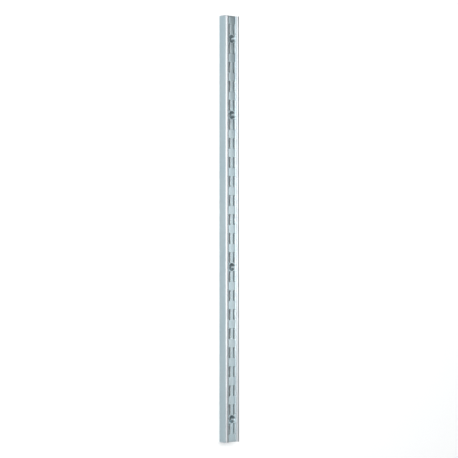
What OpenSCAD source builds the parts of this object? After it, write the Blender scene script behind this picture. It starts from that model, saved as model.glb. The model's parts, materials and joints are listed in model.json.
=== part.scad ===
// Double-slotted shelf standard: a channel rolled from one strip of steel, lying on its back,
// with countersunk screw holes pressed into dimples between the slots.
// X runs along the standard towards its top end, Y runs across it and Z points out from the wall.

/* [Channel] */
// Length of the standard
standard_length = 711.2; // [400:0.1:2400]
// Width over the two side flanges
standard_width = 30; // [29:0.5:50]
// Depth from the wall to the front of the beads
standard_depth = 17.5; // [16:0.5:40]
// Thickness of the steel strip
strip_thickness = 1.5; // [1:0.1:2]

/* [Beads and groove] */
// Outside radius of the rounded bead along each front edge
bead_radius = 3.5; // [3:0.1:4]
// Depth of the groove between the beads
groove_depth = 2.8; // [2.5:0.1:4.2]
// Radius of the hollow bend where a bead runs down into the groove
groove_bend_radius = 1; // [0.8:0.1:1.5]

/* [Slots] */
// Distance from slot to slot along a row
slot_pitch = 31.75; // [31:0.05:50]
// Length of a slot over its round ends
slot_length = 18; // [10:0.5:18.5]
// Width of a slot
slot_width = 3.5; // [2.5:0.1:3.8]
// Distance between the centre lines of the two rows
slot_row_spacing = 9.2; // [8:0.1:9.4]
// Least length of plain strip beyond the last slot at either end
end_land = 10; // [5:0.5:40]

/* [Screw holes] */
// Diameter of a screw hole
hole_diameter = 4.5; // [3.5:0.1:6]
// Length of the straight wall at the bottom of a screw hole
hole_land = 1.2; // [0.6:0.1:1.3]
// Diameter where the cone of a dimple would meet the groove floor in a sharp corner
dimple_diameter = 12.8; // [11.5:0.1:12.9]
// Included angle of the dimple, as of the screw heads that seat in it
countersink_angle = 90; // [80:1:100]
// Number of slots between the two holes nearest the top end
top_hole_step = 4; // [2:1:8]

/* [Hidden] */
$fn = 96;
zinc = [0.76, 0.79, 0.81];

// Overrun that lets a cut clear the face it opens
overrun = 1;

// Centres of the bead and of the hollow bend beside it, on the +Y side of the section
bead_y = standard_width / 2 - bead_radius;
bead_z = standard_depth - bead_radius;
floor_z = standard_depth - groove_depth;
bend_z = floor_z + groove_bend_radius;
bend_y = bead_y - sqrt(groove_depth * (2 * (bead_radius + groove_bend_radius) - groove_depth));

// Slots and the bridges between them, counted from the top end
slot_count = floor((standard_length - slot_length - 2 * end_land) / slot_pitch) + 1;
last_bridge = slot_count - 2;
middle_bridge = round((top_hole_step + last_bridge) / 2);
hole_bridges = [0, top_hole_step, middle_bridge, last_bridge];
function slot_x(index) = ((slot_count - 1) / 2 - index) * slot_pitch;
function bridge_x(index) = slot_x(index) - slot_pitch / 2;

// Dimple: radii and depths below the groove floor
countersink_slope = tan(countersink_angle / 2);
dimple_corner_r = dimple_diameter / 2;
dimple_rim_r = dimple_corner_r + strip_thickness * tan((90 - countersink_angle / 2) / 2);
hole_r = hole_diameter / 2;
cone_depth = (dimple_corner_r - hole_r) / countersink_slope;
lip_depth = cone_depth + hole_land;
lip_r = dimple_rim_r - (lip_depth - strip_thickness) * countersink_slope;

// Section of everything behind one face of the strip, from the back up to the beads and groove floor
module behind_face(bead_r, bend_r, bottom_z) {
    flange_y = bead_y + bead_r;
    face_z = bend_z - bend_r;
    difference() {
        union() {
            polygon([
                [-flange_y, bottom_z], [-flange_y, bead_z], [-bead_y, bead_z], [-bend_y, bend_z],
                [-bend_y, face_z], [bend_y, face_z],
                [bend_y, bend_z], [bead_y, bead_z], [flange_y, bead_z], [flange_y, bottom_z]
            ]);
            for (side = [-1, 1])
                translate([side * bead_y, bead_z])
                    circle(bead_r);
        }
        for (side = [-1, 1])
            translate([side * bend_y, bend_z])
                circle(bend_r);
    }
}

// Section of the rolled strip, with the same thickness round every bend
module channel_section() {
    difference() {
        behind_face(bead_radius, groove_bend_radius, 0);
        behind_face(bead_radius - strip_thickness, groove_bend_radius + strip_thickness, -overrun);
    }
}

// Slot with round ends, cut through the groove floor
module slot() {
    straight = slot_length - slot_width;
    translate([0, 0, floor_z - strip_thickness - overrun])
        linear_extrude(strip_thickness + 2 * overrun) {
            square([straight, slot_width], center = true);
            for (end = [-1, 1])
                translate([end * straight / 2, 0])
                    circle(slot_width / 2);
        }
}

// Strip pushed back behind the groove floor around a screw hole
module dimple_wall() {
    translate([0, 0, floor_z])
        rotate_extrude()
            polygon([
                [0, -strip_thickness / 2], [dimple_rim_r, -strip_thickness / 2],
                [dimple_rim_r, -strip_thickness], [lip_r, -lip_depth], [0, -lip_depth]
            ]);
}

// Hollow of a dimple, with its rounded rim, its cone and the hole through it
module dimple_hollow() {
    bend_angle = 90 - countersink_angle / 2;
    rim_foot = [
        dimple_rim_r - strip_thickness * sin(bend_angle),
        strip_thickness * (cos(bend_angle) - 1)
    ];
    translate([0, 0, floor_z])
        rotate_extrude()
            difference() {
                polygon([
                    [0, overrun], [dimple_rim_r, overrun], [dimple_rim_r, 0], rim_foot,
                    [hole_r, -cone_depth], [hole_r, -lip_depth - overrun], [0, -lip_depth - overrun]
                ]);
                translate([dimple_rim_r, -strip_thickness])
                    circle(strip_thickness);
            }
}

module slotted_channel() {
    color(zinc)
        difference() {
            union() {
                rotate([90, 0, 90])
                    linear_extrude(standard_length, center = true)
                        channel_section();
                for (bridge = hole_bridges)
                    translate([bridge_x(bridge), 0, 0])
                        dimple_wall();
            }
            for (bridge = hole_bridges)
                translate([bridge_x(bridge), 0, 0])
                    dimple_hollow();
            for (index = [0 : slot_count - 1], row = [-1, 1])
                translate([slot_x(index), row * slot_row_spacing / 2, 0])
                    slot();
        }
}

slotted_channel();
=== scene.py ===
import json
import math

import bmesh
import bpy
from mathutils import Matrix, Vector
from mathutils.geometry import delaunay_2d_cdt


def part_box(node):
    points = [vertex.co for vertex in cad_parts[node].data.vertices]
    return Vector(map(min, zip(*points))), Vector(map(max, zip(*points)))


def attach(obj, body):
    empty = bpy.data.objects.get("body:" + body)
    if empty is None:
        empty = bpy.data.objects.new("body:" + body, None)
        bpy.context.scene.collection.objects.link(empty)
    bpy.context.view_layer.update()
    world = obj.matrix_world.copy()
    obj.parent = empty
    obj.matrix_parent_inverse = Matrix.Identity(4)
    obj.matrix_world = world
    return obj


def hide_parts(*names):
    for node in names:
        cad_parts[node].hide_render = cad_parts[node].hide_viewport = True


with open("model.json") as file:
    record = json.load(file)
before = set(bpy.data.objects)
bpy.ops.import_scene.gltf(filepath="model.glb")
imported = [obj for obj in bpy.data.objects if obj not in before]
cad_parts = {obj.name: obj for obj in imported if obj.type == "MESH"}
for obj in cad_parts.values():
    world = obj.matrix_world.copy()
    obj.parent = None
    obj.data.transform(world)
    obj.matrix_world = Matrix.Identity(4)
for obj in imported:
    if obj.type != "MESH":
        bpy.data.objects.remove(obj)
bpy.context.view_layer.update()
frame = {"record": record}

# Sizes are in millimetres until a mesh is finished
MM = 0.001
mounts = {mount["name"]: mount for mount in frame["record"]["mounts"]}

# Channel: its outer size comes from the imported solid
channel_low, channel_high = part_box("slotted_channel")
LENGTH = round((channel_high.x - channel_low.x) / MM, 2)
WIDTH = round((channel_high.y - channel_low.y) / MM, 2)
DEPTH = round((channel_high.z - channel_low.z) / MM, 2)
STRIP = 1.5
BEAD_R = 3.5
BEND_R = 1.0
EDGE = 0.22
FLOOR_CROWN = 0.26
CROWN_FADE = 5.0

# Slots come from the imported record
slot_mount = mounts["bracket_slots_middle"]
FLOOR_Z = round(slot_mount["pos_m"][2] / MM, 3)
SLOT_PITCH = slot_mount["dims"]["spacing_x_mm"]
ROW_SPACING = slot_mount["dims"]["spacing_y_mm"]
SLOT_R = slot_mount["dims"]["hole_r_mm"]
SLOT_LENGTH = slot_mount["dims"]["slot_length_mm"]
SLOT_FRONT_EDGE = 0.3
SLOT_BACK_EDGE = 0.1
END_LAND = 10.0

# So do the screw holes; each lies in a 90 degree dimple
hole_mounts = [mount for name, mount in mounts.items() if name.startswith("screw_hole")]
hole_places = [mount["pos_m"][0] / MM for mount in hole_mounts]
HOLE_R = hole_mounts[0]["dims"]["r_mm"]
HOLE_LAND = hole_mounts[0]["dims"]["length_mm"]
HOLE_EDGE = 0.2
DIMPLE_CORNER_R = 6.4
DIMPLE_EDGE = 0.6

# Points round each shape
BEAD_STEPS = 30
BEND_STEPS = 9
EDGE_STEPS = 3
FLANGE_ROWS = (10, 6, 2)
SLOT_END_STEPS = 14
SLOT_SIDE_STEPS = 4
DIMPLE_STEPS = 96
RIM_STEPS = 8
HOLE_EDGE_STEPS = 4
LIP_STEPS = 3
GRID_ALONG = 12
GRID_ACROSS = 5
GRID_MARGIN = 0.35

# Tolerances for joining and finding points
JOIN_WITHIN = 0.0005
DROP_BELOW = 0.0002
NEAR = 1e-6
PLATE_NEAR = 1e-5

# How far a direction leans along an axis to count as facing it, and the angle of a sharp edge
FACES_END = 0.6
FACES_FRONT = 0.99
SHARP_ANGLE = math.radians(38)

# Places in the channel's list of materials
STRIP_FACE, CUT_FACE, INNER_FACE = range(3)

# Derived places on the section, on the +Y side
bead_y = WIDTH / 2 - BEAD_R
bead_z = DEPTH - BEAD_R
groove_depth = DEPTH - FLOOR_Z
bend_z = FLOOR_Z + BEND_R
bend_y = bead_y - math.sqrt(groove_depth * (2 * (BEAD_R + BEND_R) - groove_depth))
tangent = math.atan2(bend_z - bead_z, bead_y - bend_y)
back_z = FLOOR_Z - STRIP
end_x = LENGTH / 2 - EDGE

# Derived places along the channel
slot_half = SLOT_LENGTH / 2 - SLOT_R
slot_count = math.floor((LENGTH - SLOT_LENGTH - 2 * END_LAND) / SLOT_PITCH) + 1
slot_places = [
    (((slot_count - 1) / 2 - index) * SLOT_PITCH, side * ROW_SPACING / 2)
    for index in range(slot_count) for side in (-1, 1)
]
stations = [
    (index - slot_count) * SLOT_PITCH / 2 for index in range(2 * slot_count + 1)
]

# Derived places on a dimple, as depths below the groove floor
dimple_rim_r = DIMPLE_CORNER_R + STRIP * math.tan(math.pi / 8)
front_rim_r = DIMPLE_CORNER_R + DIMPLE_EDGE * math.tan(math.pi / 8)
cone_depth = DIMPLE_CORNER_R - HOLE_R
lip_depth = cone_depth + HOLE_LAND
lip_r = dimple_rim_r - (lip_depth - STRIP)

# Camera: square to the length, from the side of the left flange, with the top end up
VIEW_TILT = math.radians(40)
VIEW_DISTANCE = 2.75
VIEW_TARGET = Vector((0.0, 0.0, 0.0071))
VIEW_FIELD = 0.7661
VIEW_END = 50
SENSOR = 36.0


def facing(tilt):
    """Turn whose Z axis points up and towards +Y by tilt, and whose Y axis points along +X."""
    back = Vector((0, math.sin(tilt), math.cos(tilt)))
    up = Vector((1, 0, 0))
    turn = Matrix((up.cross(back), up, back)).transposed()
    return back, turn.to_4x4()


def make_camera():
    back, turn = facing(VIEW_TILT)
    data = bpy.data.cameras.new("camera")
    data.sensor_width = SENSOR
    data.lens = SENSOR * VIEW_DISTANCE / VIEW_FIELD
    data.clip_end = VIEW_END
    camera = bpy.data.objects.new("camera", data)
    camera.matrix_world = Matrix.Translation(VIEW_TARGET + back * VIEW_DISTANCE) @ turn
    bpy.context.scene.collection.objects.link(camera)
    bpy.context.scene.camera = camera


make_camera()


# Mesh helpers

def skin(mesh, rows, wrap=False, kind=STRIP_FACE):
    """Quads between neighbouring rows of points.

    kind is the place of their material, or a function that gives it from the place in the row.
    """
    made = [[mesh.verts.new(point) for point in row] for row in rows]
    for near, far in zip(made, made[1:]):
        count = len(near)
        for i in range(count if wrap else count - 1):
            j = (i + 1) % count
            face = mesh.faces.new((near[i], near[j], far[j], far[i]))
            face.material_index = kind(i) if callable(kind) else kind


def arc(centre, radius, start, end, steps):
    """Points on an arc with their directions from its centre; angles in radians."""
    for step in range(steps + 1):
        angle = start + (end - start) * step / steps
        direction = (math.cos(angle), math.sin(angle))
        yield (
            (centre[0] + radius * direction[0], centre[1] + radius * direction[1]),
            direction,
        )


def quarter_round(radius):
    """Steps over a rounded edge, as its distances from the two planes that would meet there."""
    for step in range(EDGE_STEPS + 1):
        angle = math.pi / 2 * step / EDGE_STEPS
        yield radius * (1 - math.sin(angle)), radius * (1 - math.cos(angle))


def circle(x, radius, steps):
    """Ring of points round a screw hole."""
    turns = [2 * math.pi * i / steps for i in range(steps)]
    return [(x + radius * math.cos(turn), radius * math.sin(turn)) for turn in turns]


def finish_piece(name, mesh, materials, node):
    """Closes the patches into one mesh in metres, and makes it the piece that stands for a node."""
    bmesh.ops.remove_doubles(mesh, verts=mesh.verts, dist=JOIN_WITHIN)
    bmesh.ops.dissolve_degenerate(mesh, edges=mesh.edges, dist=DROP_BELOW)
    bmesh.ops.recalc_face_normals(mesh, faces=mesh.faces)
    mesh.transform(Matrix.Scale(MM, 4))
    data = bpy.data.meshes.new(name)
    mesh.to_mesh(data)
    mesh.free()
    data.shade_smooth()
    data.set_sharp_from_angle(angle=SHARP_ANGLE)
    for material in materials:
        data.materials.append(material)
    piece = bpy.data.objects.new(name, data)
    bpy.context.scene.collection.objects.link(piece)
    normals = piece.modifiers.new("even_shading", "WEIGHTED_NORMAL")
    normals.keep_sharp = True
    normals.mode = "FACE_AREA"
    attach(piece, "root")
    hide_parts(node)


# Channel

def strip_outline():
    """Points round the strip as cut along its length.

    Each has its x, its height over the front face, and its outward direction in x and height.
    """
    corners = [
        ((-end_x, -EDGE), math.pi),
        ((end_x, -EDGE), math.pi / 2),
        ((end_x, EDGE - STRIP), 0),
        ((-end_x, EDGE - STRIP), -math.pi / 2),
    ]
    between = {0: (stations, 0, 1), 2: (stations[::-1], -STRIP, -1)}
    outline = []
    for index, (centre, start) in enumerate(corners):
        for point, direction in arc(centre, EDGE, start, start - math.pi / 2, EDGE_STEPS):
            outline.append((*point, *direction))
        if index in between:
            xs, height, outward = between[index]
            outline += [(x, height, 0, outward) for x in xs]
    return outline


def side_section(side):
    """Front of one side of the section, from the groove floor to the flange.

    Each point has its y, its z and its outward direction.
    """
    points = []
    for (y, z), (dy, dz) in arc((bend_y, bend_z), BEND_R, -math.pi / 2, -tangent, BEND_STEPS):
        points.append((y, z, -dy, -dz))
    for (y, z), (dy, dz) in arc((bead_y, bead_z), BEAD_R, math.pi - tangent, 0, BEAD_STEPS):
        points.append((y, z, dy, dz))
    points += [(WIDTH / 2, z, 1, 0) for z in FLANGE_ROWS]
    return [(side * y, z, side * dy, dz) for y, z, dy, dz in points]


def loop_round_strip(outline, point, inset=0):
    """The strip's outline stood up at a point of the section, drawn in all round by inset."""
    y, z, dy, dz = point
    return [
        (x - inset * ox, y + (h - inset * oh) * dy, z + (h - inset * oh) * dz)
        for x, h, ox, oh in outline
    ]


def stadium(place, radius):
    """Ring of points round a slot, or round a slot made wider all round."""
    cx, cy = place
    ring = []
    for end, start in ((1, -math.pi / 2), (-1, math.pi / 2)):
        centre = (cx + end * slot_half, cy)
        ring += [p for p, _ in arc(centre, radius, start, start + math.pi, SLOT_END_STEPS)]
        for step in range(1, SLOT_SIDE_STEPS):
            along = slot_half * (1 - 2 * step / SLOT_SIDE_STEPS)
            ring.append((cx + end * along, cy + end * radius))
    return ring


def in_opening(p, slot_r, dimple_r):
    """Whether a point of the groove floor lies in a slot or a dimple of the given radius."""
    for cx, cy in slot_places:
        if abs(p.x - cx) < SLOT_LENGTH:
            away = Vector((max(abs(p.x - cx) - slot_half, 0), p.y - cy))
            if away.length < slot_r:
                return True
    return any((p - Vector((x, 0))).length < dimple_r for x in hole_places)


def fill_plate(mesh, z, slot_r, dimple_r, kind):
    """Flat panel of the groove floor between its bends, with the slots and dimples left open."""
    xs = [-end_x, *stations, end_x]
    loops = [[(x, -bend_y) for x in xs] + [(x, bend_y) for x in reversed(xs)]]
    loops += [stadium(place, slot_r) for place in slot_places]
    loops += [circle(x, dimple_r, DIMPLE_STEPS) for x in hole_places]
    points, edges = [], []
    for loop in loops:
        first = len(points)
        points += [Vector(p) for p in loop]
        edges += [(first + i, first + (i + 1) % len(loop)) for i in range(len(loop))]
    grid = [
        Vector((SLOT_PITCH * (i + 0.5) / GRID_ALONG, bend_y * j / GRID_ACROSS))
        for i in range(-slot_count * GRID_ALONG, slot_count * GRID_ALONG)
        for j in range(1 - GRID_ACROSS, GRID_ACROSS)
    ]
    points += [
        p for p in grid
        if abs(p.x) < end_x - GRID_MARGIN
        and not in_opening(p, slot_r + GRID_MARGIN, dimple_r + GRID_MARGIN)
    ]
    verts, _, faces, *_ = delaunay_2d_cdt(points, edges, [], 0, PLATE_NEAR)
    made = [mesh.verts.new((p.x, p.y, z)) for p in verts]
    for face in faces:
        middle = sum((verts[i] for i in face), Vector((0, 0))) / len(face)
        if not in_opening(middle, slot_r, dimple_r):
            mesh.faces.new([made[i] for i in face]).material_index = kind


def slot_wall(mesh, place):
    """Punched wall of a slot, drawn in at the front and sharp at the back."""
    profile = [(out, FLOOR_Z - drop) for out, drop in quarter_round(SLOT_FRONT_EDGE)]
    profile += [(out, back_z + rise) for rise, out in quarter_round(SLOT_BACK_EDGE)]
    rows = [[(x, y, z) for x, y in stadium(place, SLOT_R + out)] for out, z in profile]
    last_plated = EDGE_STEPS - 1
    skin(mesh, rows[:last_plated + 1], wrap=True)
    skin(mesh, rows[last_plated:], wrap=True, kind=CUT_FACE)


def dimple_profile():
    """Radius and depth down the dimple's front, through the hole and back up its rear."""
    eighth = math.pi / 4
    slope = HOLE_EDGE * math.tan(eighth / 2)
    arcs = [
        ((front_rim_r, DIMPLE_EDGE), DIMPLE_EDGE, -2, -3, RIM_STEPS),
        ((HOLE_R + HOLE_EDGE, cone_depth + slope), HOLE_EDGE, -3, -4, HOLE_EDGE_STEPS),
        ((HOLE_R + HOLE_EDGE, lip_depth - HOLE_EDGE), HOLE_EDGE, 4, 2, HOLE_EDGE_STEPS),
        ((lip_r - slope, lip_depth - HOLE_EDGE), HOLE_EDGE, 2, 1, LIP_STEPS),
    ]
    profile = [
        point for centre, radius, start, end, steps in arcs
        for point, _ in arc(centre, radius, start * eighth, end * eighth, steps)
    ]
    return [*profile, (dimple_rim_r, STRIP)]


def add_dimples(mesh):
    profile = dimple_profile()
    wall = next(i for i, (r, _) in enumerate(profile) if r < HOLE_R + NEAR)
    lip = next(i for i, (_, d) in enumerate(profile) if d > lip_depth - NEAR)
    for x in hole_places:
        rows = [[(*p, FLOOR_Z - d) for p in circle(x, r, DIMPLE_STEPS)] for r, d in profile]
        skin(mesh, rows[:wall + 1], wrap=True)
        skin(mesh, rows[wall:lip + 1], wrap=True, kind=CUT_FACE)
        skin(mesh, rows[lip:], wrap=True, kind=INNER_FACE)


def add_sides(mesh):
    """Both sides of the channel down to the back edges, and the cut ends of the groove floor."""
    outline = strip_outline()
    ends = [abs(ox) > FACES_END for _, _, ox, _ in outline]
    fronts = [oh > FACES_FRONT for _, _, _, oh in outline]
    backs = [oh < -FACES_FRONT for _, _, _, oh in outline]

    def face_kind(i):
        j = (i + 1) % len(outline)
        if ends[i] and ends[j]:
            return CUT_FACE
        return INNER_FACE if backs[i] and backs[j] else STRIP_FACE

    def end_kind(i):
        return CUT_FACE if EDGE_STEPS - 2 < i < 2 * EDGE_STEPS + 1 else STRIP_FACE

    groove_loops = []
    for side in (1, -1):
        rows = [loop_round_strip(outline, point) for point in side_section(side)]
        groove_loops.append(rows[0])
        rows.append(loop_round_strip(outline, (side * WIDTH / 2, EDGE, side, 0)))
        skin(mesh, rows, wrap=True, kind=face_kind)
        bottom = [
            loop_round_strip(outline, (side * WIDTH / 2, z, side, 0), inset)
            for z, inset in quarter_round(EDGE)
        ]
        skin(mesh, bottom, wrap=True, kind=CUT_FACE)
        front_row = [p for p, front in zip(bottom[-1], fronts) if front]
        back_row = [p for p, back in zip(bottom[-1], backs) if back]
        skin(mesh, [front_row, back_row[::-1]], kind=CUT_FACE)
    for sign in (1, -1):
        picked = [i for i, o in enumerate(outline) if o[0] * sign > end_x - NEAR]
        if sign < 0:
            picked = picked[len(picked) // 2:] + picked[:len(picked) // 2]
        skin(mesh, [[loop[i] for i in picked] for loop in groove_loops], kind=end_kind)


def crown_floor(mesh):
    """Lets the groove floor rise a little towards its middle, away from the dimples."""
    for vert in mesh.verts:
        x, y, z = vert.co
        if abs(y) < bend_y and z < bend_z:
            away = min(math.hypot(x - place, y) for place in hole_places)
            share = max(0.0, min(1.0, (away - dimple_rim_r) / CROWN_FADE))
            vert.co.z += FLOOR_CROWN * share * (1 - (y / bend_y) ** 2)


def make_channel(materials):
    mesh = bmesh.new()
    add_sides(mesh)
    fill_plate(mesh, FLOOR_Z, SLOT_R + SLOT_FRONT_EDGE, front_rim_r, STRIP_FACE)
    fill_plate(mesh, back_z, SLOT_R + SLOT_BACK_EDGE, dimple_rim_r, INNER_FACE)
    for place in slot_places:
        slot_wall(mesh, place)
    add_dimples(mesh)
    crown_floor(mesh)
    finish_piece("channel", mesh, materials, "slotted_channel")


# Materials

class Nodes:
    """Short way to add and link shader nodes."""

    # Sockets of a colour mix
    MIX_FACTOR, MIX_UNDER, MIX_OVER, MIX_RESULT = 0, 6, 7, 2

    def __init__(self, name):
        self.material = bpy.data.materials.new(name)
        self.material.use_nodes = True
        self.tree = self.material.node_tree
        self.shader = self.tree.nodes["Principled BSDF"]
        self.coords = self.tree.nodes.new("ShaderNodeTexCoord").outputs["Object"]

    def link(self, source, target):
        self.tree.links.new(source, target)

    def noise(self, scale, detail, roughness=0.55):
        """Noise with its own scale along each axis, in cycles a metre."""
        mapping = self.tree.nodes.new("ShaderNodeMapping")
        mapping.inputs["Scale"].default_value = scale
        texture = self.tree.nodes.new("ShaderNodeTexNoise")
        texture.inputs["Scale"].default_value = 1.0
        texture.inputs["Detail"].default_value = detail
        texture.inputs["Roughness"].default_value = roughness
        self.link(self.coords, mapping.inputs["Vector"])
        self.link(mapping.outputs["Vector"], texture.inputs["Vector"])
        return texture.outputs["Fac"]

    def height(self):
        """Height over the floor, in metres."""
        node = self.tree.nodes.new("ShaderNodeSeparateXYZ")
        self.link(self.coords, node.inputs["Vector"])
        return node.outputs["Z"]

    def spread(self, source, from_range, to_range):
        """Maps a value from one range to another."""
        node = self.tree.nodes.new("ShaderNodeMapRange")
        limits = zip(("From Min", "From Max", "To Min", "To Max"), (*from_range, *to_range))
        for name, limit in limits:
            node.inputs[name].default_value = limit
        self.link(source, node.inputs["Value"])
        return node.outputs["Result"]

    def ramp(self, source, stops):
        """Colours at two or more stops of a value."""
        node = self.tree.nodes.new("ShaderNodeValToRGB")
        elements = node.color_ramp.elements
        while len(elements) < len(stops):
            elements.new(0.5)
        for element, (position, color) in zip(elements, stops):
            element.position = position
            element.color = (*color, 1)
        self.link(source, node.inputs["Fac"])
        return node.outputs["Color"]

    def add_share(self, base, source, share):
        """Adds a share of one value to another."""
        product = self.tree.nodes.new("ShaderNodeMath")
        product.operation = "MULTIPLY"
        self.link(source, product.inputs[0])
        product.inputs[1].default_value = share
        total = self.tree.nodes.new("ShaderNodeMath")
        total.operation = "ADD"
        self.link(base, total.inputs[0])
        self.link(product.outputs["Value"], total.inputs[1])
        return total.outputs["Value"]

    def mix(self, factor, under, color):
        """Lays a plain colour over another by a factor."""
        node = self.tree.nodes.new("ShaderNodeMix")
        node.data_type = "RGBA"
        self.link(factor, node.inputs[self.MIX_FACTOR])
        self.link(under, node.inputs[self.MIX_UNDER])
        node.inputs[self.MIX_OVER].default_value = (*color, 1)
        return node.outputs[self.MIX_RESULT]

    def bump(self, height, strength, distance, under=None):
        node = self.tree.nodes.new("ShaderNodeBump")
        node.inputs["Strength"].default_value = strength
        node.inputs["Distance"].default_value = distance
        self.link(height, node.inputs["Height"])
        if under:
            self.link(under, node.inputs["Normal"])
        return node.outputs["Normal"]

    def surface(self, color, roughness, normal, metallic):
        self.shader.inputs["Metallic"].default_value = metallic
        self.link(color, self.shader.inputs["Base Color"])
        self.link(roughness, self.shader.inputs["Roughness"])
        self.link(normal, self.shader.inputs["Normal"])
        return self.material


# Range that most of a noise's values lie in
NOISE_RANGE = (0.3, 0.7)

# Front of the strip; its crests carry a painted highlight, a plain grey over a range of heights, in
# metres, where they are also rougher
ZINC_BLUE = (0.358, 0.442, 0.476)
ZINC_PALE = (0.39, 0.46, 0.484)
ZINC_DULL = (0.353, 0.40, 0.42)
# Plain grey painted on the crests as a painted highlight
CREST_HIGHLIGHT_GREY = (0.372, 0.388, 0.402)
ZINC_ROUGH = (0.27, 0.38)
CREST_HEIGHTS = (0.0153, 0.0166)
CREST_ROUGH = 0.10
SPECK_RANGE = (0.66, 0.78)
SPECK_STRENGTH = 0.3
SPECK_ROUGH = 0.12

# Cut edges and inner face of the strip
CUT_LIGHT = (0.92, 0.94, 0.95)
CUT_DARK = (0.76, 0.79, 0.80)
CUT_METALLIC = 0.2
INSIDE_PALE = (0.60, 0.74, 0.78)
INSIDE_DULL = (0.48, 0.60, 0.64)
MATT_ROUGH = (0.62, 0.5)

# Floor
FLOOR_DULL = (0.94, 0.943, 0.946)
FLOOR_PALE = (0.955, 0.957, 0.96)
FLOOR_ROUGH = (0.75, 0.85)
FLOOR_SHINE = 0.2


def zinc_strip():
    """Blue-passivated zinc on rolled strip.

    It has lines along X, a cloudy tint, dull specks, and crests painted a plain grey as a painted
    highlight, and made rougher there.
    """
    n = Nodes("zinc_plated_strip")
    cloud = n.noise((14, 70, 70), detail=4)
    lines = n.noise((9, 1100, 1100), detail=4, roughness=0.6)
    scratch = n.noise((45, 5200, 5200), detail=2)
    specks = n.noise((900, 900, 900), detail=2)
    crest_highlight = n.spread(n.height(), CREST_HEIGHTS, (0, 1))
    dull = n.spread(specks, SPECK_RANGE, (0, SPECK_STRENGTH))
    color = n.ramp(cloud, [(0.36, ZINC_BLUE), (0.62, ZINC_PALE)])
    # Painted highlight: the crests are painted a plain grey
    color = n.mix(crest_highlight, color, CREST_HIGHLIGHT_GREY)
    color = n.mix(dull, color, ZINC_DULL)
    rough = n.spread(lines, NOISE_RANGE, ZINC_ROUGH)
    rough = n.add_share(rough, dull, SPECK_ROUGH)
    rough = n.add_share(rough, crest_highlight, CREST_ROUGH)
    normal = n.bump(lines, strength=0.22, distance=0.00006)
    normal = n.bump(scratch, strength=0.12, distance=0.00002, under=normal)
    return n.surface(color, rough, normal, metallic=1.0)


def inside_strip():
    """Inner face of the strip, where the plate stays matt and cloudy."""
    n = Nodes("zinc_inside")
    cloud = n.noise((60, 220, 220), detail=4)
    grain = n.noise((500, 2600, 2600), detail=3)
    color = n.ramp(cloud, [(0.35, INSIDE_DULL), (0.65, INSIDE_PALE)])
    rough = n.spread(cloud, NOISE_RANGE, MATT_ROUGH)
    normal = n.bump(grain, strength=0.2, distance=0.00004)
    return n.surface(color, rough, normal, metallic=1.0)


def cut_edge():
    """Sheared edge of the strip: paler and matt, with shear marks across the thickness."""
    n = Nodes("zinc_cut_edge")
    grain = n.noise((700, 700, 160), detail=4, roughness=0.65)
    fine = n.noise((4200, 4200, 900), detail=2)
    color = n.ramp(grain, [(0.35, CUT_DARK), (0.65, CUT_LIGHT)])
    rough = n.spread(grain, NOISE_RANGE, MATT_ROUGH)
    normal = n.bump(grain, strength=0.3, distance=0.00008)
    normal = n.bump(fine, strength=0.2, distance=0.00003, under=normal)
    return n.surface(color, rough, normal, metallic=CUT_METALLIC)


def pale_floor():
    n = Nodes("pale_floor")
    cloud = n.noise((3, 3, 3), detail=3)
    grain = n.noise((260, 260, 260), detail=2)
    color = n.ramp(cloud, [(0.3, FLOOR_DULL), (0.7, FLOOR_PALE)])
    rough = n.spread(grain, NOISE_RANGE, FLOOR_ROUGH)
    normal = n.bump(grain, strength=0.02, distance=0.0002)
    n.shader.inputs["Specular IOR Level"].default_value = FLOOR_SHINE
    return n.surface(color, rough, normal, metallic=0.0)


# Stage, in metres

FLOOR_SIZE = 14.0
WORLD_COLOR = (0.94, 0.99, 1.0)
WORLD_STRENGTH = 0.22


def make_floor():
    half = FLOOR_SIZE / 2
    data = bpy.data.meshes.new("floor")
    corners = [(-half, -half, 0), (half, -half, 0), (half, half, 0), (-half, half, 0)]
    data.from_pydata(corners, [], [(0, 1, 2, 3)])
    data.materials.append(pale_floor())
    floor = bpy.data.objects.new("floor", data)
    bpy.context.scene.collection.objects.link(floor)


def soft_box(name, tilt, distance, x, length, width, radiance):
    """Rectangular studio light that faces the standard from a tilt off the vertical, towards +Y.

    Its power grows with its area, so that radiance is how bright it looks.
    """
    back, turn = facing(math.radians(tilt))
    data = bpy.data.lights.new(name, "AREA")
    data.shape = "RECTANGLE"
    data.size = width
    data.size_y = length
    data.energy = radiance * 4 * length * width
    light = bpy.data.objects.new(name, data)
    light.matrix_world = Matrix.Translation(back * distance + Vector((x, 0, 0))) @ turn
    light.visible_camera = False
    bpy.context.scene.collection.objects.link(light)


def make_lights():
    soft_box("top_box", tilt=3, distance=1.6, x=0.335, length=1.33, width=2.1, radiance=1.7)
    soft_box("key_box", tilt=30, distance=4.2, x=0.0, length=0.65, width=0.32, radiance=90)
    soft_box("front_box", tilt=76, distance=1.8, x=0.12, length=1.3, width=1.1, radiance=2.1)
    soft_box("side_box", tilt=-40, distance=1.6, x=-0.24, length=1.15, width=0.4, radiance=1.4)
    world = bpy.data.worlds.new("studio")
    world.use_nodes = True
    background = world.node_tree.nodes["Background"]
    background.inputs["Color"].default_value = (*WORLD_COLOR, 1)
    background.inputs["Strength"].default_value = WORLD_STRENGTH
    bpy.context.scene.world = world


make_channel([zinc_strip(), cut_edge(), inside_strip()])
make_floor()
make_lights()
bpy.context.scene.view_settings.view_transform = "Standard"
